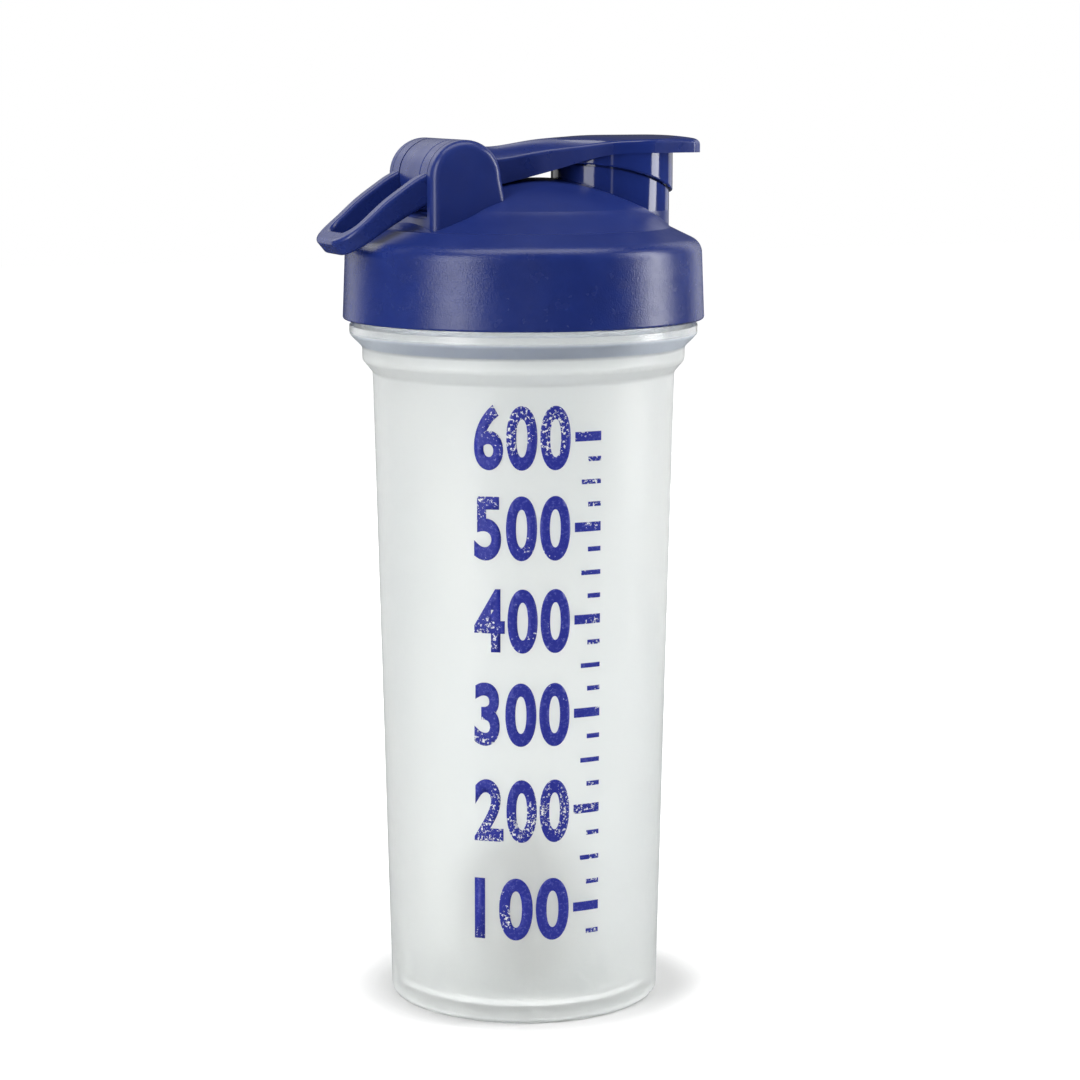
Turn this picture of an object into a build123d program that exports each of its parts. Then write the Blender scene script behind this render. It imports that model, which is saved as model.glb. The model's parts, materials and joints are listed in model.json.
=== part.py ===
from build123d import *
from math import cos, pi, radians, sin
import os

# Protein shaker bottle with a screw lid, a flip cap over the pouring spout, a carry loop
# on the same hinge, and a loose wire whisk ball in the cup.
# Millimetres. The origin is the middle of the cup's foot, +Z is up, the spout lies towards +X,
# and the hinge of the cap and the loop runs along Y on the -X side.

# ---- cup: one moulded piece, tapered, with a stepped shoulder and a neck for the lid ----
cup_foot_radius = 35.5
cup_body_radius = 39.45          # at the top of the tapered body
cup_body_height = 166.1
cup_wall = 1.6
cup_floor = 2.2
foot_edge_radius = 1.4
foot_ring_width = 6.6            # the ring that the cup stands on, round a shallow recess
foot_recess_depth = 1.4
shoulder_step = 3.3              # height of the sloping step above the body
shoulder_out = 2.7               # how far that step leads outwards
shoulder_height = 3.4            # the short upright ring above the step
bead_cone = 3.3                  # height of the cone under the bead
bead_out = 3.25                  # how far the bead stands out from the ring
bead_height = 3.2                # the stop bead just under the lid
neck_inset = 3.2                 # from the bead in to the thread's root
neck_wall = 1.7
neck_height = 17.2               # from the bead's top to the rim

shoulder_radius = cup_body_radius + shoulder_out
bead_radius = shoulder_radius + bead_out
neck_radius = bead_radius - neck_inset
neck_bore_radius = neck_radius - neck_wall
shoulder_low = cup_body_height + shoulder_step
bead_low = shoulder_low + shoulder_height + bead_cone
bead_top = bead_low + bead_height
rim_height = bead_top + neck_height

# ---- lid seal ----
seal_gap = 0.3                   # above and below the seal
seal_thickness = 2.4
seal_side_gap = 0.4              # from the collar inside it
seal_outer_gap = 0.6             # from the skirt round it

# ---- lid: skirt, sloping ledge and an off-centre dome ----
skirt_gap = 0.7                  # between the cup's bead and the skirt
thread_room = 2.4                # from the neck out to the skirt's bore
skirt_wall = 2.5                 # at its lower edge
skirt_draft = 0.8                # how much narrower the skirt is at its top
skirt_shoulder_round = 4.4
ledge_drop = 1.9                 # from the ledge's level down to the skirt's upper corner
ledge_rise = 1.9                 # from the ledge's level up to the dome's foot
ledge_width = 7.9                # from the skirt in to that foot
ledge_skin = 2.1
dome_skin = 2.3                  # measured upright
collar_clearance = 0.9           # round the collar that enters the cup's mouth
collar_wall = 1.6
collar_depth = 9.5
dome_height = 14.6               # above the ledge
dome_sections = [                # height over the ledge, shift towards the spout, inset from the skirt
    (-2.6, 0.0, 4.4),
    (-0.7, 0.4, 6.0),
    (0.9, 1.0, 8.0),
    (2.5, 2.0, 10.5),
    (4.5, 3.3, 14.1),
    (7.0, 3.9, 18.0),
]

skirt_bottom = bead_top + skirt_gap
skirt_bore_radius = neck_radius + thread_room
skirt_bottom_radius = skirt_bore_radius + skirt_wall
skirt_top_radius = skirt_bottom_radius - skirt_draft
ledge_underside = rim_height + seal_thickness + 2 * seal_gap
ledge_height = ledge_underside + ledge_skin
collar_outer_radius = neck_bore_radius - collar_clearance
collar_bore_radius = collar_outer_radius - collar_wall
ledge_inner_radius = skirt_top_radius - ledge_width
seal_inner_radius = collar_outer_radius + seal_side_gap
seal_outer_radius = skirt_bore_radius - seal_outer_gap

# ---- pouring spout ----
spout_bore_radius = 12.8
spout_wall = 1.6
drum_wall = 1.1                  # thicker lower part of the spout's wall, under the cap's collar
spout_margin = 6.4               # from the drum out to the skirt
spout_height = 19.9              # above the ledge

spout_radius = spout_bore_radius + spout_wall
drum_radius = spout_radius + drum_wall
spout_x = skirt_top_radius - spout_margin - drum_radius
spout_top = ledge_height + spout_height

# ---- hinge shared by the flip cap and the carry loop ----
hinge_setback = 24.5             # from the skirt's rear in to the hinge axis
hinge_height = 15.3              # above the ledge
hub_radius = 9.5                 # of the ears, the loop's eyes and the cap's barrel alike
hub_gap = 0.45                   # round the hubs, in the pocket between the ears
side_gap = 0.3                   # between parts side by side on the hinge
barrel_half_width = 7.9
barrel_edge_round = 0.6
loop_band = 4.7                  # width of the loop's eye and band
ear_plate = 4.1
ear_front_lean = 3.6             # how far the ear's front edge leans out towards its foot
ear_edge_round = 2.3
saddle_height = 5.6              # of the solid foot between the ears, above the ledge
saddle_wall = 1.6
saddle_edge_round = 0.8
pin_radius = 2.5
pin_clearance = 0.1
pin_seat_depth = 1.8
pin_chamfer = 0.4

hinge_x = hinge_setback - skirt_top_radius
hinge_z = ledge_height + hinge_height
loop_half_width = barrel_half_width + side_gap + loop_band
ear_inner = loop_half_width + side_gap
ear_half_width = ear_inner + ear_plate

# ---- flip cap ----
cap_tip_reach = 22.8             # from the spout's axis to the tip
cap_tip_bow = 2.2
cap_tip_narrowing = 4.8          # each side, from the collar's width to the tip's corners
cap_corner_round = 3.5
cap_tip_round = 1.5              # along the tip's upper edge
cap_skin = 2.0
cap_flange = 1.8
cap_collar_wall = 1.5
cap_collar_clearance = 0.5
cap_collar_round = 0.45
cap_edge_radius = 68.0           # the collar's lower edge follows a circle seen from the side
cap_edge_drop = 1.5              # from the spout's top to that edge, at the collar's rear
cap_edge_gap = 0.5
plug_clearance = 0.4
plug_wall = 1.5
plug_depth = 6.9

cap_collar_bore_radius = spout_radius + cap_collar_clearance
cap_collar_radius = cap_collar_bore_radius + cap_collar_wall
cap_tip_x = spout_x + cap_tip_reach
plug_radius = spout_bore_radius - plug_clearance
plug_bottom = spout_top - plug_depth

# ---- carry loop ----
loop_tip_band = 4.6
loop_tilt = 40.0                 # mean slope of the loop below the horizontal
loop_reach = 35.5                # from the hinge axis to the tip, along that slope
loop_corner = 8.0
loop_inner_corner = 4.0
loop_edge_round = 1.1

# ---- whisk ball ----
whisk_ball_radius = 17.6         # to the middle of the wire
whisk_wire = 2.2
whisk_turns = 9
whisk_pole_angle = 12.0
whisk_floor_gap = 0.3


def rounded(points, rounds=None):
    """A closed face through points, with the corners named by index rounded to a radius."""
    face = make_face(Polyline(*points, close=True))
    for index, radius in (rounds or {}).items():
        corner = Vector(*points[index], 0)
        vertex = face.vertices().sort_by_distance(corner)[0]
        face = fillet(vertex, radius)
    return face


def turned(face, x=0.0):
    """Revolves a face drawn as radius and height about the upright axis at x."""
    return Pos(x, 0, 0) * revolve(Plane.XZ * face, Axis.Z)


def drum(radius, low, high, x=0.0):
    return Pos(x, 0, low) * Cylinder(radius, high - low, align=(Align.CENTER, Align.CENTER, Align.MIN))


def across(face, near, far):
    """Extrudes a face drawn in X and Z from Y = near to Y = far."""
    return extrude(Plane((0, far, 0), (1, 0, 0), (0, -1, 0)) * face, far - near)


def hub(radius, near, far):
    """A cylinder on the hinge axis, from Y = near to Y = far."""
    return across(Pos(hinge_x, hinge_z) * Circle(radius), near, far)


def both_sides(shape):
    return shape + mirror(shape, Plane.XZ)


# ---------------------------------------------------------------- cup
def make_cup():
    cone_low = shoulder_low + shoulder_height
    foot_recess_radius = cup_foot_radius - foot_ring_width - foot_recess_depth
    taper = (cup_body_radius - cup_foot_radius) / cup_body_height
    outer = [
        (0, foot_recess_depth),
        (foot_recess_radius, foot_recess_depth),
        (foot_recess_radius + foot_recess_depth, 0),
        (cup_foot_radius, 0),
        (cup_body_radius, cup_body_height),
        (shoulder_radius, shoulder_low),
        (shoulder_radius, cone_low),
        (bead_radius, bead_low),
        (bead_radius, bead_top - 0.8),
        (neck_radius, bead_top),
        (neck_radius, rim_height),
    ]
    inner_floor_radius = cup_foot_radius + taper * cup_floor - cup_wall
    inner = [
        (neck_bore_radius, rim_height),
        (neck_bore_radius, shoulder_low + 0.9),
        (cup_body_radius - cup_wall, cup_body_height + 0.6),
        (inner_floor_radius, foot_recess_depth + cup_floor),
        (0, foot_recess_depth + cup_floor),
    ]
    wall = rounded(
        outer + inner,
        {
            3: foot_edge_radius,
            4: 1.6,
            5: 2.2,
            6: 1.2,
            7: 1.4,
            10: 0.7,
            11: 0.7,
            12: 2.2,
            13: 2.0,
            14: 5.0,
        },
    )
    return turned(wall)


# ---------------------------------------------------------------- lid
def make_dome():
    """The dome's outside: round sections that lean towards the spout, under a round crown."""
    sections = []
    for height, shift, inset in dome_sections:
        sections.append(Pos(shift, 0, ledge_height + height) * Circle(skirt_top_radius - inset))
    height, shift, inset = dome_sections[-1]
    width = skirt_top_radius - inset
    rise = dome_height - height
    low = ledge_height + height
    crown_radius = (width ** 2 + rise ** 2) / (2 * rise)
    crown = Pos(shift, 0, low + rise - crown_radius) * Sphere(crown_radius)
    return loft(sections) + (crown & drum(2 * width, low, low + rise, shift))


def skirt_face():
    """The skirt and ledge as one solid ring section, filled to the axis."""
    return rounded(
        [
            (0, skirt_bottom),
            (skirt_bottom_radius, skirt_bottom),
            (skirt_top_radius, ledge_height - ledge_drop),
            (ledge_inner_radius, ledge_height + ledge_rise),
            (0, ledge_height + ledge_rise),
        ],
        {1: 0.6, 2: skirt_shoulder_round},
    )


def lid_void():
    """The hollow under the lid: channel for the cup's rim, the mouth and the space under the dome."""
    low = skirt_bottom - 1
    channel = drum(skirt_bore_radius, low, ledge_underside)
    channel -= drum(collar_outer_radius, ledge_underside - collar_depth, ledge_underside)
    mouth = drum(collar_bore_radius, low, ledge_underside)
    dome = Pos(0, 0, -dome_skin) * make_dome() & drum(collar_bore_radius, low, spout_top)
    saddle = hub(hub_radius + hub_gap + saddle_wall, -ear_half_width, ear_half_width)
    return channel + mouth + (dome - saddle)


def ear_face():
    """The D-shaped outline of a hinge ear, drawn in X and Z."""
    foot = ledge_underside
    left, right = hinge_x - hub_radius, hinge_x + hub_radius
    outline = (
        ThreePointArc((left, hinge_z), (hinge_x, hinge_z + hub_radius), (right, hinge_z))
        + Polyline((right, hinge_z), (right + ear_front_lean, foot), (left, foot), (left, hinge_z))
    )
    return make_face(outline)


def make_ears():
    """Both ears and the solid foot between them."""
    plate = across(ear_face(), ear_inner, ear_half_width)
    outer_edges = plate.faces().sort_by(Axis.Y)[-1].edges().group_by(Axis.Z)[1:]
    plate = fillet([edge for group in outer_edges for edge in group], ear_edge_round)
    saddle = across(ear_face(), -ear_inner, ear_inner)
    saddle &= drum(3 * ear_half_width, 0, ledge_height + saddle_height, hinge_x)
    rear_edge = saddle.edges().filter_by(Axis.Y).group_by(Axis.Z)[-1].sort_by(Axis.X)[0]
    saddle = fillet(rear_edge, saddle_edge_round)
    return both_sides(plate) + saddle


def under_cap_edge(gap):
    """The space under the curved lower edge of the cap's collar, less a gap."""
    top = spout_top - cap_edge_drop
    circle = Pos(spout_x - cap_collar_radius, top - cap_edge_radius) * Circle(cap_edge_radius - gap)
    return across(circle, -2 * drum_radius, 2 * drum_radius)


def make_lid():
    body = turned(skirt_face()) + make_dome()
    body += drum(drum_radius, ledge_underside, spout_top, spout_x) & under_cap_edge(cap_edge_gap)
    body += drum(spout_radius, ledge_underside, spout_top, spout_x)
    body += make_ears()
    body -= lid_void()
    body -= drum(spout_bore_radius, skirt_bottom, spout_top + 1, spout_x)
    body -= hub(hub_radius + hub_gap, -ear_inner, ear_inner)
    seat = ear_inner + pin_seat_depth
    body -= hub(pin_radius + pin_clearance, -seat, seat)
    return body


# ---------------------------------------------------------------- flip cap
# Sections of the arm, evenly spaced along X from the barrel to the tip: half width, height of the
# crown over the hinge axis, drop from the crown to the rounded side edge, height of the lower edge
# over the hinge axis, and the edge's round.
cap_sections = [
    (barrel_half_width, 8.7, 3.6, -3.1, 1.2),
    (barrel_half_width, 7.4, 3.3, -2.4, 1.2),
    (barrel_half_width + 0.1, 7.9, 3.0, -1.0, 1.2),
    (barrel_half_width + 1.4, 8.9, 2.8, 0.7, 1.2),
    (cap_collar_radius - 4.2, 9.5, 2.3, 2.8, 1.2),
    (cap_collar_radius - 1.4, 9.9, 1.7, 4.8, 1.2),
    (cap_collar_radius + 0.1, 10.1, 1.2, 5.6, 1.1),
    (cap_collar_radius, 10.1, 1.0, 5.7, 1.1),
    (cap_collar_radius - 0.8, 10.1, 0.9, 5.7, 1.1),
    (cap_collar_radius - 1.8, 9.9, 0.9, 5.7, 1.1),
    (cap_collar_radius - 3.0, 9.1, 0.9, 5.6, 1.1),
]
spout_section = 6                # the section that lies nearest to the spout's axis


def section_plane(index):
    """The upright plane of a section, with its X along -Y and its Y up from the hinge axis."""
    start = hinge_x + 4.2
    step = (cap_tip_x + 0.3 - start) / (len(cap_sections) - 1)
    return Plane((start + index * step, 0, hinge_z), (0, 1, 0), (1, 0, 0))


def arm_section(index):
    half_width, crown, drop, low, edge = cap_sections[index]
    side = crown - drop
    face = make_face(
        ThreePointArc((-half_width, side), (0, crown), (half_width, side))
        + Polyline((half_width, side), (half_width, low), (-half_width, low), (-half_width, side))
    )
    corners = [v for v in face.vertices() if v.Y > (side + low) / 2]
    return section_plane(index) * fillet(corners, edge)


def hollow_section(index):
    half_width, crown, drop, low = cap_sections[index][:4]
    top = crown - drop - cap_skin + 0.6
    half = half_width - cap_flange
    face = make_face(Polyline((-half, top), (half, top), (half, low - 6), (-half, low - 6), close=True))
    return section_plane(index) * face


def cap_outline():
    """Plan of the arm's free end: a bowed tip with rounded corners."""
    back = hinge_x - 1.0
    wide = 2 * cap_collar_radius
    far = cap_tip_x - cap_tip_bow
    corner = cap_collar_radius - cap_tip_narrowing
    tip = ThreePointArc((far, -corner), (cap_tip_x, 0), (far, corner))
    rest = Polyline(
        (far, corner), (spout_x, wide), (back, wide), (back, -wide), (spout_x, -wide), (far, -corner)
    )
    face = make_face(tip + rest)
    corners = [v for v in face.vertices() if v.X > far - 0.01]
    return fillet(corners, cap_corner_round)


def make_arm():
    """The arm over the dome, hollow underneath, with a rounded tip and room for the loop's eyes."""
    count = len(cap_sections)
    arm = loft([arm_section(index) for index in range(count)])
    arm -= loft([hollow_section(index) for index in range(2, count - 1)])
    arm &= extrude(Pos(0, 0, hinge_z - hub_radius) * cap_outline(), 3 * hub_radius)
    tip = arm.faces().sort_by(Axis.X)[-1]
    tip_edge = tip.edges().sort_by(Axis.Z)[-1]
    arm = fillet(tip_edge, cap_tip_round)
    return arm - both_sides(hub(hub_radius + hub_gap, barrel_half_width, ear_half_width))


def make_flip_cap():
    arm = make_arm()
    crown, drop = cap_sections[spout_section][1:3]
    under = hinge_z + crown - drop - cap_skin / 2
    ring = drum(cap_collar_radius, plug_bottom - plug_depth, under, spout_x)
    ring -= drum(cap_collar_bore_radius, plug_bottom - plug_depth, under, spout_x)
    ring -= under_cap_edge(0)
    ring = fillet(ring.edges().filter_by(GeomType.BSPLINE), cap_collar_round)
    plug_face = rounded(
        [
            (plug_radius - plug_wall, plug_bottom),
            (plug_radius, plug_bottom),
            (plug_radius, under),
            (plug_radius - plug_wall, under),
        ],
        {1: plug_wall / 2, 0: plug_wall / 4},
    )
    barrel = hub(hub_radius, -barrel_half_width, barrel_half_width)
    barrel = fillet(barrel.edges().filter_by(GeomType.CIRCLE), barrel_edge_round)
    pin_end = ear_inner + pin_seat_depth - side_gap
    pins = chamfer(hub(pin_radius, -pin_end, pin_end).edges().filter_by(GeomType.CIRCLE), pin_chamfer)
    return arm + ring + turned(plug_face, spout_x) + barrel + pins


# ---------------------------------------------------------------- carry loop
def loop_side_face():
    """Side view of the loop: deep at the hubs, thinner and flatter towards the tip. Its points are
    drawn from the hinge axis."""
    top = Spline(
        (-7.7, 2.0), (-9.6, 1.0), (-11.6, 0.0), (-14.7, -2.0),
        (-20.3, -6.0), (-24.9, -10.0), (-29.2, -13.4), (-35.7, -17.1),
    )
    low = Spline(
        (-6.2, -5.7), (-10.0, -7.4), (-16.2, -10.7), (-22.8, -14.8), (-27.2, -17.8), (-32.8, -21.9),
    )
    ends = Line(top @ 1, low @ 1) + Line(low @ 0, top @ 0)
    return Pos(hinge_x, hinge_z) * make_face(top + low + ends)


def loop_plan(half_width, reach, corner):
    """Plan of a U with rounded ends, drawn in the loop's own plane: X runs down the slope."""
    return rounded(
        [(0, -half_width), (reach, -half_width), (reach, half_width), (0, half_width)],
        {1: corner, 2: corner},
    )


def make_carry_loop():
    slope = radians(loop_tilt)
    down = (-cos(slope), 0, -sin(slope))
    plane = Plane((hinge_x, 0, hinge_z), down, (-sin(slope), 0, cos(slope)))
    band = loop_plan(loop_half_width, loop_reach, loop_corner)
    band -= loop_plan(loop_half_width - loop_band, loop_reach - loop_tip_band, loop_inner_corner)
    bow = extrude(plane * band, 20, both=True)
    bow &= across(loop_side_face(), -loop_half_width, loop_half_width)
    bowed = [face for face in bow.faces() if face.geom_type not in (GeomType.PLANE, GeomType.CYLINDER)]
    free = hinge_x - hub_radius + 1.5
    bow = fillet([e for face in bowed for e in face.edges() if e.center().X < free], loop_edge_round)
    eye = hub(hub_radius, barrel_half_width + side_gap, loop_half_width)
    eye -= hub(pin_radius + pin_clearance, 0, ear_half_width)
    return bow + both_sides(eye)


# ---------------------------------------------------------------- lid seal
def make_lid_seal():
    low = rim_height + seal_gap
    high = low + seal_thickness
    inner, outer = seal_inner_radius, seal_outer_radius
    edges = dict.fromkeys(range(4), seal_thickness / 4)
    return turned(rounded([(inner, low), (outer, low), (outer, high), (inner, high)], edges))


# ---------------------------------------------------------------- whisk ball
def make_whisk_ball():
    """One wire wound from pole to pole. Each half turn is a tilted half circle between two points
    of the plane Y = 0, so that neighbours meet square to that plane and run on smoothly."""
    halves = 2 * whisk_turns
    first = radians(whisk_pole_angle)
    step = (pi - 2 * first) / halves
    points = []
    for index in range(halves + 1):
        polar = first + index * step
        side = 1 if index % 2 == 0 else -1
        points.append(Vector(side * whisk_ball_radius * sin(polar), 0, whisk_ball_radius * cos(polar)))
    arcs = []
    for index in range(halves):
        start, end = points[index], points[index + 1]
        middle = (start + end) / 2
        side = 1 if index % 2 == 0 else -1
        bulge = middle + Vector(0, side * (end - start).length / 2, 0)
        arcs.append(ThreePointArc(start, bulge, end))
    path = Wire(arcs)
    section = Plane(points[0], (1, 0, 0), (0, 1, 0)) * Circle(whisk_wire / 2)
    ball = sweep(section, path=path)
    rest = foot_recess_depth + cup_floor + whisk_ball_radius + whisk_wire / 2
    return Pos(0, 0, rest + whisk_floor_gap) * ball


nodes = {
    "cup": make_cup,
    "lid": make_lid,
    "lid_seal": make_lid_seal,
    "flip_cap": make_flip_cap,
    "carry_loop": make_carry_loop,
    "whisk_ball": make_whisk_ball,
}

if __name__ == "__main__":
    os.makedirs("parts", exist_ok=True)
    for name, make in nodes.items():
        export_step(make(), f"parts/{name}.step")
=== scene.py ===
import json
import math

import bmesh
import bpy
from mathutils import Euler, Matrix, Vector
from mathutils.bvhtree import BVHTree


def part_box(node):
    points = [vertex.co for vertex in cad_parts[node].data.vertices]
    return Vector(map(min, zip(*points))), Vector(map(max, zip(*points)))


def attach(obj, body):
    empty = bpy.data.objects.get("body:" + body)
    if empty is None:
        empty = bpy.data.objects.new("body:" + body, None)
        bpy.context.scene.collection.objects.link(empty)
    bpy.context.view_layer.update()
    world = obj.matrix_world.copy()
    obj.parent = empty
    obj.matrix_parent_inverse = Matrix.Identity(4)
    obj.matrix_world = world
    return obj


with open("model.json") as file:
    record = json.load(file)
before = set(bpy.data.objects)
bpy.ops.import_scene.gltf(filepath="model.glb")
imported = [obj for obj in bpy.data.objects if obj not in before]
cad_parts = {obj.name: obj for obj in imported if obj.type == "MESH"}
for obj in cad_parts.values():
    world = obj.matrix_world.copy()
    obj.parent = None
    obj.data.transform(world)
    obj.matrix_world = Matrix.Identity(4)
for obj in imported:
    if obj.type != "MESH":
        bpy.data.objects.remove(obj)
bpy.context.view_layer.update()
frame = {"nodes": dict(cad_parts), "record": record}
nodes = frame["nodes"]
mm = 0.001

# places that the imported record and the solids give
openings = {box["name"]: box["box_m"] for box in frame["record"]["physics"]["openings"]}
spoutLow, spoutHigh = openings["pouring_spout"]
spoutX = (spoutLow[0] + spoutHigh[0]) / 2
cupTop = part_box("cup")[1][2]
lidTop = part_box("lid")[1][2]
print("frame loaded:", ", ".join(sorted(nodes)))


# short ways to build node trees
def addNode(tree, kind, values=None, **settings):
    node = tree.nodes.new(kind)
    for key, value in settings.items():
        setattr(node, key, value)
    for key, value in (values or {}).items():
        node.inputs[key].default_value = value
    return node


# a plain value sets the socket, another node's output is linked to it
def feed(tree, socket, value):
    if isinstance(value, (int, float, tuple, Vector)):
        socket.default_value = value
    else:
        tree.links.new(value, socket)


def calc(tree, operation, *values):
    node = addNode(tree, "ShaderNodeMath", operation=operation)
    for socket, value in zip(node.inputs, values):
        feed(tree, socket, value)
    return node.outputs[0]


def ramp(tree, value, low, high, lowOut=0.0, highOut=1.0):
    node = addNode(tree, "ShaderNodeMapRange", interpolation_type="SMOOTHSTEP")
    for socket, number in zip(node.inputs, (value, low, high, lowOut, highOut)):
        feed(tree, socket, number)
    return node.outputs[0]


def mixColor(tree, factor, first, second):
    node = addNode(tree, "ShaderNodeMix", data_type="RGBA")
    for index, value in ((0, factor), (6, first), (7, second)):
        feed(tree, node.inputs[index], value)
    return node.outputs[2]


def vector(tree, x=0.0, y=0.0, z=0.0):
    node = addNode(tree, "ShaderNodeCombineXYZ")
    for socket, value in zip(node.inputs, (x, y, z)):
        feed(tree, socket, value)
    return node.outputs[0]


def noise(tree, coords, size, detail=2.0, roughness=0.5, stretch=None):
    if stretch:
        mapping = addNode(tree, "ShaderNodeMapping", {"Scale": stretch})
        tree.links.new(coords, mapping.inputs[0])
        coords = mapping.outputs[0]
    values = {"Scale": 1 / size, "Detail": detail, "Roughness": roughness}
    node = addNode(tree, "ShaderNodeTexNoise", values)
    tree.links.new(coords, node.inputs["Vector"])
    return node.outputs["Fac"]


def bump(tree, height, strength, distance, below=None):
    node = addNode(tree, "ShaderNodeBump", {"Distance": distance})
    feed(tree, node.inputs["Strength"], strength)
    feed(tree, node.inputs["Height"], height)
    if below:
        feed(tree, node.inputs["Normal"], below)
    return node.outputs[0]


def axesOf(tree, coords):
    split = addNode(tree, "ShaderNodeSeparateXYZ")
    tree.links.new(coords, split.inputs[0])
    return split.outputs


def fromAxis(tree, axes, centreX=0.0):  # distance from the upright axis through centreX
    x = calc(tree, "SUBTRACT", axes[0], centreX)
    xSquare = calc(tree, "MULTIPLY", x, x)
    ySquare = calc(tree, "MULTIPLY", axes[1], axes[1])
    return calc(tree, "SQRT", calc(tree, "ADD", xSquare, ySquare))


def startMaterial(name, **sockets):
    material = bpy.data.materials.new(name)
    material.use_nodes = True
    tree = material.node_tree
    shader = tree.nodes["Principled BSDF"]
    for key, value in sockets.items():
        shader.inputs[key.replace("_", " ")].default_value = value
    coords = addNode(tree, "ShaderNodeTexCoord").outputs["Object"]
    return material, tree, shader, coords


def dress(obj, material):
    obj.data.materials.clear()
    obj.data.materials.append(material)


# blue polypropylene of the lid, the flip cap and the loop
bluePlastic = {
    "color": (0.0140, 0.0300, 0.178, 1),
    "colorDeep": (0.0118, 0.0255, 0.158, 1),
    "cloudSize": 11.0 * mm,
    "satinRoughness": 0.33,
    "capSatin": 0.9,                # the cap's and the loop's share of that roughness
    "loopSatin": 0.85,
    "unevenness": 0.04,             # of the roughness, up and down
    "unevenSize": 4.0 * mm,
    "grainRoughness": 0.25,         # of the lid's grained skirt
    "glossRoughness": 0.09,         # of the spout and the cap's collar
    "grainSize": 0.40 * mm,
    "grainDepth": 0.07 * mm,
    "smoothGrain": 0.12,            # share of the grain on the smooth faces
    "rippleHeight": 3.0 * mm,
    "rippleDepth": 0.09 * mm,
    "skirt": (44.0 * mm, lidTop - 23.4 * mm),       # grained outside this radius, below this height
    "skirtFade": 1.5 * mm,
    "spoutGloss": (15.5 * mm, lidTop - 19.0 * mm),  # polished inside this radius, above this height
    "collarGloss": (16.4 * mm, 0.0),
    "glossEdge": (0.8 * mm, 0.3 * mm),              # past that radius, from dull to polished
    "glossFade": 0.5 * mm,
}


def bluePlasticMaterial(name, satin=1.0, skirt=None, gloss=None):
    p = bluePlastic
    material, tree, shader, coords = startMaterial(name, IOR=1.49)
    axes = axesOf(tree, coords)
    cloud = ramp(tree, noise(tree, coords, p["cloudSize"], 3), 0.3, 0.7)
    color = mixColor(tree, cloud, p["color"], p["colorDeep"])
    tree.links.new(color, shader.inputs["Base Color"])
    level = p["satinRoughness"] * satin
    uneven = noise(tree, coords, p["unevenSize"], 3)
    rough = ramp(tree, uneven, 0.2, 0.8, level - p["unevenness"], level + p["unevenness"])
    share = p["smoothGrain"]
    below = None
    if skirt:  # grain and faint moulding ripples
        radius, top = skirt
        outside = ramp(tree, fromAxis(tree, axes), radius, radius + p["skirtFade"])
        under = ramp(tree, axes[2], top, top - p["skirtFade"])
        onSkirt = calc(tree, "MULTIPLY", outside, under)
        share = calc(tree, "MULTIPLY_ADD", onSkirt, 1 - p["smoothGrain"], p["smoothGrain"])
        rough = calc(tree, "MULTIPLY_ADD", onSkirt, p["grainRoughness"] - level, rough)
        ripple = noise(tree, coords, p["rippleHeight"], 1.5, stretch=(0.05, 0.05, 1))
        below = bump(tree, ripple, onSkirt, p["rippleDepth"])
    if gloss:
        radius, low = gloss
        edge, full = p["glossEdge"]
        near = ramp(tree, fromAxis(tree, axes, spoutX), radius + edge, radius + full)
        above = ramp(tree, axes[2], low, low + p["glossFade"])
        polished = calc(tree, "MULTIPLY", near, above)
        dull = calc(tree, "SUBTRACT", 1.0, polished)
        dullRough = calc(tree, "MULTIPLY", rough, dull)
        rough = calc(tree, "MULTIPLY_ADD", polished, p["glossRoughness"], dullRough)
        share = calc(tree, "MULTIPLY", share, dull)
    tree.links.new(rough, shader.inputs["Roughness"])
    grain = noise(tree, coords, p["grainSize"], 2, 0.55)
    relief = bump(tree, grain, share, p["grainDepth"], below)
    tree.links.new(relief, shader.inputs["Normal"])
    return material


lidPlastic = bluePlasticMaterial("bluePlasticLid", skirt=bluePlastic["skirt"],
                                 gloss=bluePlastic["spoutGloss"])
capPlastic = bluePlasticMaterial("bluePlasticCap", satin=bluePlastic["capSatin"],
                                 gloss=bluePlastic["collarGloss"])
dress(nodes["lid"], lidPlastic)
dress(nodes["flip_cap"], capPlastic)
dress(nodes["carry_loop"], bluePlasticMaterial("bluePlasticLoop", satin=bluePlastic["loopSatin"]))
print("blue plastic done")


# cloudy polypropylene of the cup
neckFoot = cupTop - 27.1 * mm       # low edge of the upright ring under the bead
cloudyPlastic = {
    "color": (0.900, 0.915, 0.905, 1),
    "colorCloud": (0.865, 0.885, 0.880, 1),
    "cloudSize": 32.0 * mm,
    "transmission": 0.78,
    "roughness": 0.42,
    "unevenness": 0.05,
    "scuffSize": 1.1 * mm,
    "beadRoughness": 0.24,
    "paintedLidLightColor": (0.42, 0.60, 0.92, 1),     # painted light: the lid's blue light, painted faint onto the cone under the bead
    "paintedLidLightStrength": 0.28,
    "bandStart": (neckFoot + 3.4 * mm, neckFoot + 3.9 * mm),
    "bandEnd": (neckFoot + 6.8 * mm, neckFoot + 7.4 * mm),
    "flowSize": 4.5 * mm,
    "flowDepth": 0.03 * mm,
    "flowStrength": 0.5,
}


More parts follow.
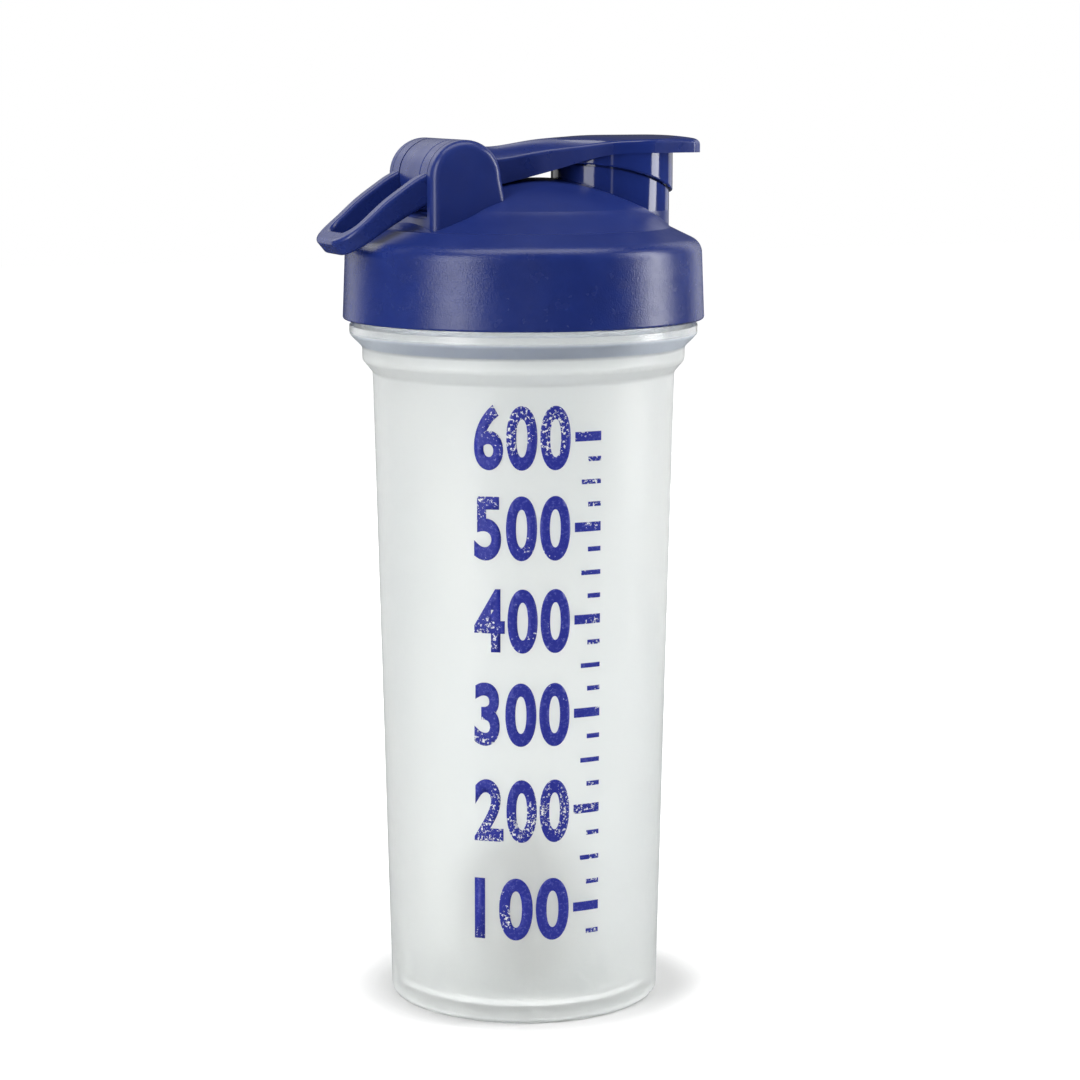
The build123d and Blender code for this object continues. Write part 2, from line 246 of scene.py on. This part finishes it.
def cloudyPlasticMaterial():
    p = cloudyPlastic
    material, tree, shader, coords = startMaterial("cloudyPlastic", IOR=1.47,
                                                   Transmission_Weight=p["transmission"])
    cloud = ramp(tree, noise(tree, coords, p["cloudSize"], 3, stretch=(1, 1, 0.35)), 0.3, 0.7)
    base = mixColor(tree, cloud, p["color"], p["colorCloud"])
    z = axesOf(tree, coords)[2]
    low, lowFull = p["bandStart"]
    highFull, high = p["bandEnd"]
    # painted light: a faint blue band on the cone under the bead stands in for the lid's light
    # showing through the plastic
    paintedLightRise = ramp(tree, z, low, lowFull, 0.0, p["paintedLidLightStrength"])
    paintedLidLight = calc(tree, "MULTIPLY", paintedLightRise, ramp(tree, z, high, highFull))
    tree.links.new(mixColor(tree, paintedLidLight, base, p["paintedLidLightColor"]), shader.inputs["Base Color"])
    scuff = noise(tree, coords, p["scuffSize"], 3, stretch=(1, 1, 0.3))
    level = p["roughness"]
    rough = ramp(tree, scuff, 0.25, 0.75, level - p["unevenness"], level + p["unevenness"])
    shiny = ramp(tree, z, highFull, high)  # the bead and the neck are smoother
    smoother = calc(tree, "SUBTRACT", p["beadRoughness"], rough)
    rough = calc(tree, "MULTIPLY_ADD", shiny, smoother, rough)
    tree.links.new(rough, shader.inputs["Roughness"])
    flow = noise(tree, coords, p["flowSize"], 2, stretch=(1, 1, 0.2))  # upright flow marks
    relief = bump(tree, flow, p["flowStrength"], p["flowDepth"])
    tree.links.new(relief, shader.inputs["Normal"])
    return material


cupPlastic = cloudyPlasticMaterial()
dress(nodes["cup"], cupPlastic)


# silicone of the seal and steel of the wire
silicone = {
    "color": (0.72, 0.73, 0.72, 1),
    "colorDusty": (0.66, 0.67, 0.65, 1),
    "dustSize": 6.0 * mm,
    "roughness": (0.45, 0.6),
    "unevenSize": 2.0 * mm,
    "glow": 0.3,                    # share of light that spreads inside
    "glowDepth": 2.0 * mm,
}
drawnSteel = {
    "color": (0.62, 0.61, 0.59, 1),
    "colorDull": (0.55, 0.54, 0.53, 1),
    "drawnSize": 1.4 * mm,
    "roughness": 0.18,
    "unevenness": 0.16,
}


def siliconeMaterial():
    p = silicone
    material, tree, shader, coords = startMaterial("silicone", Subsurface_Weight=p["glow"],
                                                   Subsurface_Scale=p["glowDepth"])
    dusty = ramp(tree, noise(tree, coords, p["dustSize"], 3), 0.35, 0.7)
    color = mixColor(tree, dusty, p["color"], p["colorDusty"])
    tree.links.new(color, shader.inputs["Base Color"])
    rough = ramp(tree, noise(tree, coords, p["unevenSize"]), 0.2, 0.8, *p["roughness"])
    tree.links.new(rough, shader.inputs["Roughness"])
    return material


def steelMaterial():
    p = drawnSteel
    material, tree, shader, coords = startMaterial("drawnSteel", Metallic=1.0)
    drawn = ramp(tree, noise(tree, coords, p["drawnSize"], 3), 0.2, 0.8)
    color = mixColor(tree, drawn, p["color"], p["colorDull"])
    tree.links.new(color, shader.inputs["Base Color"])
    rough = calc(tree, "MULTIPLY_ADD", drawn, p["unevenness"], p["roughness"])
    tree.links.new(rough, shader.inputs["Roughness"])
    return material


dress(nodes["lid_seal"], siliconeMaterial())
dress(nodes["whisk_ball"], steelMaterial())
print("cup, seal and wire done")


# short ways to build and run geometry trees
def startGeometryTree(name, inputs):
    tree = bpy.data.node_groups.new(name, "GeometryNodeTree")
    for way in ("INPUT", "OUTPUT"):
        tree.interface.new_socket("Geometry", in_out=way, socket_type="NodeSocketGeometry")
    keys = {}
    for label, kind in inputs.items():
        socket = tree.interface.new_socket(label, in_out="INPUT", socket_type="NodeSocket" + kind)
        keys[label] = socket.identifier
    return tree, addNode(tree, "NodeGroupInput").outputs, keys


def endGeometryTree(tree, geometry, material):
    realize = addNode(tree, "GeometryNodeRealizeInstances")
    paint = addNode(tree, "GeometryNodeSetMaterial", {"Material": material})
    tree.links.new(geometry, realize.inputs[0])
    tree.links.new(realize.outputs[0], paint.inputs[0])
    tree.links.new(paint.outputs[0], addNode(tree, "NodeGroupOutput").inputs[0])


# runs a geometry tree and keeps its result as a plain mesh
def growMesh(name, tree, keys, values, start=None):
    carrier = bpy.data.objects.new(name + "Carrier", start or bpy.data.meshes.new(name + "Start"))
    bpy.context.scene.collection.objects.link(carrier)
    modifier = carrier.modifiers.new("grow", "NODES")
    modifier.node_group = tree
    for label, value in values.items():
        modifier[keys[label]] = value
    graph = bpy.context.evaluated_depsgraph_get()
    mesh = bpy.data.meshes.new_from_object(carrier.evaluated_get(graph), depsgraph=graph)
    carrier.modifiers.remove(modifier)
    bpy.data.objects.remove(carrier)
    mesh.name = name
    return mesh


def addPiece(name, mesh):
    piece = bpy.data.objects.new(name, mesh)
    bpy.context.scene.collection.objects.link(piece)
    return piece


# screw threads on the cup's neck and inside the lid
neckThread = {
    "starts": 2,
    "turns": 0.92,
    "lead": 12.0 * mm,
    "firstHeight": cupTop - 13.6 * mm,
    "radius": 42.1 * mm,
    "crest": 1.6 * mm,              # outwards, or inwards where it is negative
    "rootWidth": 2.6 * mm,
    "crestWidth": 1.2 * mm,
    "turned": 0.0,                  # degrees about the axis
    "steps": 72,                    # along one ridge
    "runOut": 0.07,                 # share of its length in which each end gets thin
    "endScale": 0.05,
}
lidThread = dict(neckThread, radius=44.7 * mm, crest=-1.7 * mm, turns=0.86,
                 firstHeight=neckThread["firstHeight"] + 0.3 * mm, turned=90.0)


def threadTree(name, material):
    inputs = {label: "Float" for label in neckThread}
    inputs.update(starts="Int", steps="Int")
    tree, given, keys = startGeometryTree(name, inputs)
    helix = addNode(tree, "GeometryNodeCurveSpiral")
    rise = calc(tree, "MULTIPLY", given["lead"], given["turns"])
    for label, value in (("Resolution", given["steps"]), ("Rotations", given["turns"]),
                         ("Start Radius", given["radius"]), ("End Radius", given["radius"]),
                         ("Height", rise)):
        tree.links.new(value, helix.inputs[label])
    upright = addNode(tree, "GeometryNodeSetCurveNormal", mode="Z_UP")
    tree.links.new(helix.outputs[0], upright.inputs[0])
    profile = addNode(tree, "GeometryNodeCurvePrimitiveQuadrilateral", mode="POINTS")
    corners = (("rootWidth", -0.5, 0.0), ("rootWidth", 0.5, 0.0),
               ("crestWidth", 0.5, 1.0), ("crestWidth", -0.5, 1.0))
    for index, (width, side, out) in enumerate(corners, start=1):
        point = vector(tree, calc(tree, "MULTIPLY", given["crest"], -out),
                       calc(tree, "MULTIPLY", given[width], side))
        tree.links.new(point, profile.inputs["Point %d" % index])
    along = addNode(tree, "GeometryNodeSplineParameter").outputs["Factor"]
    toEnd = calc(tree, "MINIMUM", along, calc(tree, "SUBTRACT", 1.0, along))
    thickness = ramp(tree, toEnd, 0.0, given["runOut"], given["endScale"], 1.0)
    ridge = addNode(tree, "GeometryNodeCurveToMesh", {"Fill Caps": True})
    for label, value in (("Curve", upright.outputs[0]), ("Profile Curve", profile.outputs[0]),
                         ("Scale", thickness)):
        tree.links.new(value, ridge.inputs[label])
    starts = addNode(tree, "GeometryNodePoints")  # one copy of the ridge for each start
    tree.links.new(given["starts"], starts.inputs["Count"])
    index = addNode(tree, "GeometryNodeInputIndex").outputs[0]
    step = calc(tree, "DIVIDE", math.tau, given["starts"])
    turn = calc(tree, "MULTIPLY_ADD", index, step, calc(tree, "RADIANS", given["turned"]))
    copies = addNode(tree, "GeometryNodeInstanceOnPoints")
    for label, value in (("Points", starts.outputs[0]), ("Instance", ridge.outputs[0]),
                         ("Rotation", vector(tree, z=turn))):
        tree.links.new(value, copies.inputs[label])
    place = addNode(tree, "GeometryNodeTransform")
    tree.links.new(copies.outputs[0], place.inputs[0])
    tree.links.new(vector(tree, z=given["firstHeight"]), place.inputs["Translation"])
    endGeometryTree(tree, place.outputs[0], material)
    return tree, keys


def makeThread(name, values, material, body):
    tree, keys = threadTree(name + "Nodes", material)
    mesh = growMesh(name, tree, keys, values)
    shell = bmesh.new()
    shell.from_mesh(mesh)
    bmesh.ops.remove_doubles(shell, verts=shell.verts, dist=1e-6)
    bmesh.ops.recalc_face_normals(shell, faces=shell.faces)
    shell.to_mesh(mesh)
    thread = addPiece(name, mesh)
    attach(thread, body)


makeThread("neckThread", neckThread, cupPlastic, "cup")
makeThread("lidThread", lidThread, lidPlastic, "lid")
print("threads done")


# print on the cup: a plain volume scale of numbers, lines and ticks
scalePrint = {
    "color": (0.018, 0.026, 0.305, 1),
    "colorThin": (0.070, 0.085, 0.430, 1),
    "thinning": (0.50, 0.66),       # fleck noise from full to thin ink
    "wornColor": (0.80, 0.82, 0.81, 1),
    "wornFrom": 0.73,               # fleck noise past which the ink is gone
    "wornMore": 0.17,               # and that much sooner in the worn patches
    "wearSize": 0.75 * mm,
    "patchSize": 14.0 * mm,
    "patchEdge": (0.46, 0.62),
    "roughness": (0.34, 0.5),
    "centreAngle": -106.0,          # degrees about the cup, from +X
    "width": 33.0 * mm,
    "stepMl": 100,
    "steps": 6,
    "digitHeight": 16.5 * mm,
    "digitWidth": 24.6 * mm,        # of three digits together
    "digitSpacing": 1.10,
    "boldness": 0.032,              # share of the letter size
    "ticks": {25: 3.6 * mm, 50: 5.4 * mm, 75: 3.6 * mm, 100: 7.2 * mm},
    "tickHeight": 1.2 * mm,
    "tickColumns": 6,               # points across, so that a tick follows the round wall
    "lineHeight": 2.4 * mm,
    "firstCut": 1.3 * mm,           # upright cuts let the digits' flat faces follow it
    "cutStep": 1.5 * mm,
    "proud": 0.06 * mm,
    "sunk": 0.02 * mm,
}
cupInside = {
    "floor": 3.6 * mm,
    "wall": 1.6 * mm,
    "discHeight": 0.25 * mm,
    "straightFrom": 5.0 * mm,       # above the rounded foot
    "bareAngle": 0.1,               # radians
}
rayStart = 0.2                      # metres from the axis, well outside the cup
cupTree = BVHTree.FromObject(nodes["cup"], bpy.context.evaluated_depsgraph_get())


def cupRadius(z, angle):
    out = Vector((math.cos(angle), math.sin(angle), 0))
    return rayStart - cupTree.ray_cast(out * rayStart + Vector((0, 0, z)), -out)[3]


# the height of each volume in the cup, found by adding thin discs
def fillHeights(step, count):
    p = cupInside
    heights, total, z = {}, 0.0, p["floor"]
    for target in range(step, count * step + 1, step):
        while total < target * 1e-6:  # millilitres to cubic metres
            radius = cupRadius(max(z, p["straightFrom"]), p["bareAngle"]) - p["wall"]
            total += math.pi * radius ** 2 * p["discHeight"]
            z += p["discHeight"]
        heights[target] = z
    return heights


def wrapOnCup(mesh):  # flat X and Y become the way round the cup and the height
    p = scalePrint
    centre = math.radians(p["centreAngle"])
    for vertex in mesh.vertices:
        u, v, w = vertex.co
        angle = centre + u / cupRadius(v, centre)
        radius = cupRadius(v, angle) - p["sunk"] + w
        vertex.co = Vector((math.cos(angle) * radius, math.sin(angle) * radius, v))


def inkMaterial():
    p = scalePrint
    material, tree, shader, coords = startMaterial("printInk", IOR=1.45)
    patch = ramp(tree, noise(tree, coords, p["patchSize"], 2), *p["patchEdge"])
    fleck = noise(tree, coords, p["wearSize"], 4, 0.68)
    limit = calc(tree, "MULTIPLY_ADD", patch, -p["wornMore"], p["wornFrom"])
    bare = calc(tree, "GREATER_THAN", fleck, limit)
    ink = mixColor(tree, ramp(tree, fleck, *p["thinning"]), p["color"], p["colorThin"])
    tree.links.new(mixColor(tree, bare, ink, p["wornColor"]), shader.inputs["Base Color"])
    rough = ramp(tree, fleck, 0.3, 0.7, *p["roughness"])
    tree.links.new(rough, shader.inputs["Roughness"])
    return material


def numberMesh(text, middle):
    p = scalePrint
    curve = bpy.data.curves.new("number", "FONT")
    curve.body = text
    curve.size = 1.0
    curve.offset = p["boldness"]
    curve.space_character = p["digitSpacing"]
    letters = bpy.data.objects.new("number", curve)
    bpy.context.scene.collection.objects.link(letters)
    graph = bpy.context.evaluated_depsgraph_get()
    mesh = bpy.data.meshes.new_from_object(letters.evaluated_get(graph), depsgraph=graph)
    bpy.data.objects.remove(letters)
    xs = [vertex.co.x for vertex in mesh.vertices]
    ys = [vertex.co.y for vertex in mesh.vertices]
    wide = p["digitWidth"] / (max(xs) - min(xs))
    tall = p["digitHeight"] / (max(ys) - min(ys))
    left, low = min(xs), min(ys)
    for vertex in mesh.vertices:
        x, y, z = vertex.co
        v = (y - low) * tall - p["digitHeight"] / 2 + middle
        vertex.co = Vector(((x - left) * wide - p["width"] / 2, v, 0))
    return mesh


def finishPrint(name, mesh, ink):
    p = scalePrint
    wrapOnCup(mesh)
    piece = addPiece(name, mesh)
    dress(piece, ink)
    film = piece.modifiers.new("film", "SOLIDIFY")
    film.thickness = p["sunk"] + p["proud"]
    film.offset = 1.0
    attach(piece, "cup")


def makeNumbers(heights, ink):
    p = scalePrint
    joined = bmesh.new()
    for volume in range(p["stepMl"], p["steps"] * p["stepMl"] + 1, p["stepMl"]):
        joined.from_mesh(numberMesh(str(volume), heights[volume]))
    bmesh.ops.triangulate(joined, faces=joined.faces[:])
    cut = p["firstCut"] - p["width"] / 2
    while cut < p["width"] / 2:
        everything = joined.verts[:] + joined.edges[:] + joined.faces[:]
        bmesh.ops.bisect_plane(joined, geom=everything, plane_co=(cut, 0, 0), plane_no=(1, 0, 0))
        cut += p["cutStep"]
    bmesh.ops.remove_doubles(joined, verts=joined.verts, dist=1e-6)
    mesh = bpy.data.meshes.new("scaleNumbers")
    joined.to_mesh(mesh)
    finishPrint("scaleNumbers", mesh, ink)


def tickTree(ink):
    inputs = {"Longest": "Float", "Line Height": "Float", "Tick Height": "Float", "Columns": "Int"}
    tree, given, keys = startGeometryTree("scaleTicksNodes", inputs)
    bar = addNode(tree, "GeometryNodeMeshGrid", {"Size X": 1.0, "Size Y": 1.0, "Vertices Y": 2})
    tree.links.new(given["Columns"], bar.inputs["Vertices X"])
    wide = addNode(tree, "GeometryNodeInputNamedAttribute", {"Name": "tickWidth"})
    wide = wide.outputs["Attribute"]
    nearLongest = calc(tree, "MULTIPLY", given["Longest"], 0.9)
    isLine = calc(tree, "GREATER_THAN", wide, nearLongest)  # the longest ticks are the lines
    extra = calc(tree, "SUBTRACT", given["Line Height"], given["Tick Height"])
    tall = calc(tree, "MULTIPLY_ADD", isLine, extra, given["Tick Height"])
    bars = addNode(tree, "GeometryNodeInstanceOnPoints")
    for label, value in (("Points", given["Geometry"]), ("Instance", bar.outputs[0]),
                         ("Scale", vector(tree, wide, tall, 1.0))):
        tree.links.new(value, bars.inputs[label])
    endGeometryTree(tree, bars.outputs[0], ink)
    return tree, keys


def makeTicks(heights, ink):
    p = scalePrint
    step = p["stepMl"]
    volumes = [volume for volume in sorted(heights) if volume > step / 2]
    widths = [p["ticks"][(volume - 1) % step + 1] for volume in volumes]
    places = [((p["width"] - wide) / 2, heights[volume], 0)
              for volume, wide in zip(volumes, widths)]
    points = bpy.data.meshes.new("tickPoints")
    points.from_pydata(places, [], [])
    attribute = points.attributes.new("tickWidth", "FLOAT", "POINT")
    attribute.data.foreach_set("value", widths)
    tree, keys = tickTree(ink)
    values = {"Longest": p["ticks"][step], "Line Height": p["lineHeight"],
              "Tick Height": p["tickHeight"], "Columns": p["tickColumns"]}
    finishPrint("scaleTicks", growMesh("scaleTicks", tree, keys, values, points), ink)


ticksPerStep = len(scalePrint["ticks"])
heights = fillHeights(scalePrint["stepMl"] // ticksPerStep, scalePrint["steps"] * ticksPerStep)
print("scale heights in mm", {volume: round(z / mm, 1) for volume, z in heights.items()
                              if volume % scalePrint["stepMl"] == 0})
printInk = inkMaterial()
makeNumbers(heights, printInk)
makeTicks(heights, printInk)
print("print done")


# studio: lamps, world, floor and camera
studio = {
    "aim": (0.0, 0.0, 0.12),        # what every lamp faces
    "fill": 0.13,                   # light from all round
    "mirrorFront": 0.02,            # what glossy faces see in front of the bottle
    "mirrorBehind": 0.08,           # and behind it
    "mirrorTurn": (0.3, -0.4),      # where the one turns into the other
    "front": (-0.36, -0.93, 0.0),
    "floorSize": 3.0,
    "floorColor": (0.8, 0.8, 0.8, 1),
    "floorRoughness": 0.9,
    "floorSpecular": 0.1,
    "paintedShadowGlow": (0.02, 0.42),      # painted shadow: the floor's glow at the foot and a little way off
    "paintedShadowReach": (0.036, 0.052),    # where those two are, the reach of the painted shadow
    # the painted shadow's centre, shifted this far along X
    "paintedShadowShift": 0.003,
    "floorFade": (0.12, 0.45),      # from there to plain white far off
    "cameraPlace": (-0.28505, -0.71702, 0.24298),
    "cameraTurn": (81.03, 0.0, -22.0),
    "lens": 98.64,
    "lamps": {  # azimuth, elevation, distance, width, height, watts
        "keyLeft": (-65, 14, 0.85, 0.36, 0.85, 4.7),
        "keyRight": (69, 12, 0.85, 0.27, 0.85, 6.3),
        "sideLeft": (-158, 14, 0.85, 0.38, 0.85, 0.9),
        "sideRight": (124, 14, 0.85, 0.36, 0.85, 0.8),
        "dullLeft": (-100, 14, 0.85, 0.50, 0.85, 1.5),
        "dullRight": (98, 14, 0.85, 0.50, 0.85, 1.2),
        "stripFront": (-18, 14, 1.00, 0.06, 0.60, 0.16),
        "top": (-10, 80, 0.80, 0.90, 0.40, 3.6),
        "back": (-165, 36, 0.95, 1.15, 0.42, 1.5),
    },
}


def makeLamp(name, azimuth, elevation, distance, width, height, watts):
    data = bpy.data.lights.new(name, "AREA")
    data.shape = "RECTANGLE"
    data.size, data.size_y, data.energy = width, height, watts
    lamp = bpy.data.objects.new(name, data)
    a, e = math.radians(azimuth), math.radians(elevation)
    out = Vector((math.sin(a) * math.cos(e), -math.cos(a) * math.cos(e), math.sin(e)))
    lamp.location = Vector(studio["aim"]) + out * distance
    lamp.rotation_euler = out.to_track_quat("Z", "Y").to_euler()
    lamp.visible_camera = False
    lamp.visible_glossy = not name.startswith("dull")  # a dull lamp lights without a highlight
    bpy.context.scene.collection.objects.link(lamp)


def makeWorld():
    p = studio
    world = bpy.data.worlds.new("studio")
    bpy.context.scene.world = world
    world.use_nodes = True
    tree = world.node_tree
    path = addNode(tree, "ShaderNodeLightPath").outputs
    seen = calc(tree, "MAXIMUM", path["Is Camera Ray"], path["Is Transmission Ray"])
    lit = calc(tree, "MULTIPLY_ADD", seen, 1.0 - p["fill"], p["fill"])
    way = addNode(tree, "ShaderNodeTexCoord").outputs["Generated"]
    front = Vector(p["front"]).normalized()
    towards = addNode(tree, "ShaderNodeVectorMath", {1: front}, operation="DOT_PRODUCT")
    tree.links.new(way, towards.inputs[0])
    mirror = ramp(tree, towards.outputs["Value"], *p["mirrorTurn"],
                  p["mirrorFront"] - p["fill"], p["mirrorBehind"] - p["fill"])
    strength = calc(tree, "MULTIPLY_ADD", mirror, path["Is Glossy Ray"], lit)
    background = tree.nodes["Background"]
    background.inputs["Color"].default_value = (1, 1, 1, 1)
    tree.links.new(strength, background.inputs["Strength"])


def makeFloor():
    p = studio
    sheet = bmesh.new()
    bmesh.ops.create_grid(sheet, x_segments=1, y_segments=1, size=p["floorSize"])
    mesh = bpy.data.meshes.new("floor")
    sheet.to_mesh(mesh)
    floor = addPiece("floor", mesh)
    material, tree, shader, coords = startMaterial(
        "paleFloor", Base_Color=p["floorColor"], Roughness=p["floorRoughness"],
        Specular_IOR_Level=p["floorSpecular"])
    path = addNode(tree, "ShaderNodeLightPath").outputs
    # painted contact shadow: the floor's glow is lowered near the foot, so the floor is darker
    # there
    away = fromAxis(tree, axesOf(tree, coords), p["paintedShadowShift"])
    near = ramp(tree, away, *p["paintedShadowReach"], *p["paintedShadowGlow"])
    level = ramp(tree, away, *p["floorFade"], near, 1.0)
    glow = addNode(tree, "ShaderNodeEmission", {"Color": (1, 1, 1, 1)})
    strength = calc(tree, "MULTIPLY_ADD", path["Is Camera Ray"], level, path["Is Transmission Ray"])
    tree.links.new(strength, glow.inputs["Strength"])
    both = addNode(tree, "ShaderNodeAddShader")
    tree.links.new(shader.outputs[0], both.inputs[0])
    tree.links.new(glow.outputs[0], both.inputs[1])
    tree.links.new(both.outputs[0], tree.nodes["Material Output"].inputs["Surface"])
    dress(floor, material)
    floor.visible_glossy = False


for lampName, values in studio["lamps"].items():
    makeLamp(lampName, *values)
makeWorld()
makeFloor()

cameraData = bpy.data.cameras.new("camera")
cameraData.lens = studio["lens"]
cameraData.sensor_width = 36
camera = bpy.data.objects.new("camera", cameraData)
camera.location = studio["cameraPlace"]
camera.rotation_euler = Euler([math.radians(angle) for angle in studio["cameraTurn"]])
bpy.context.scene.collection.objects.link(camera)
bpy.context.scene.camera = camera
bpy.context.scene.view_settings.view_transform = "Standard"
print("studio done")
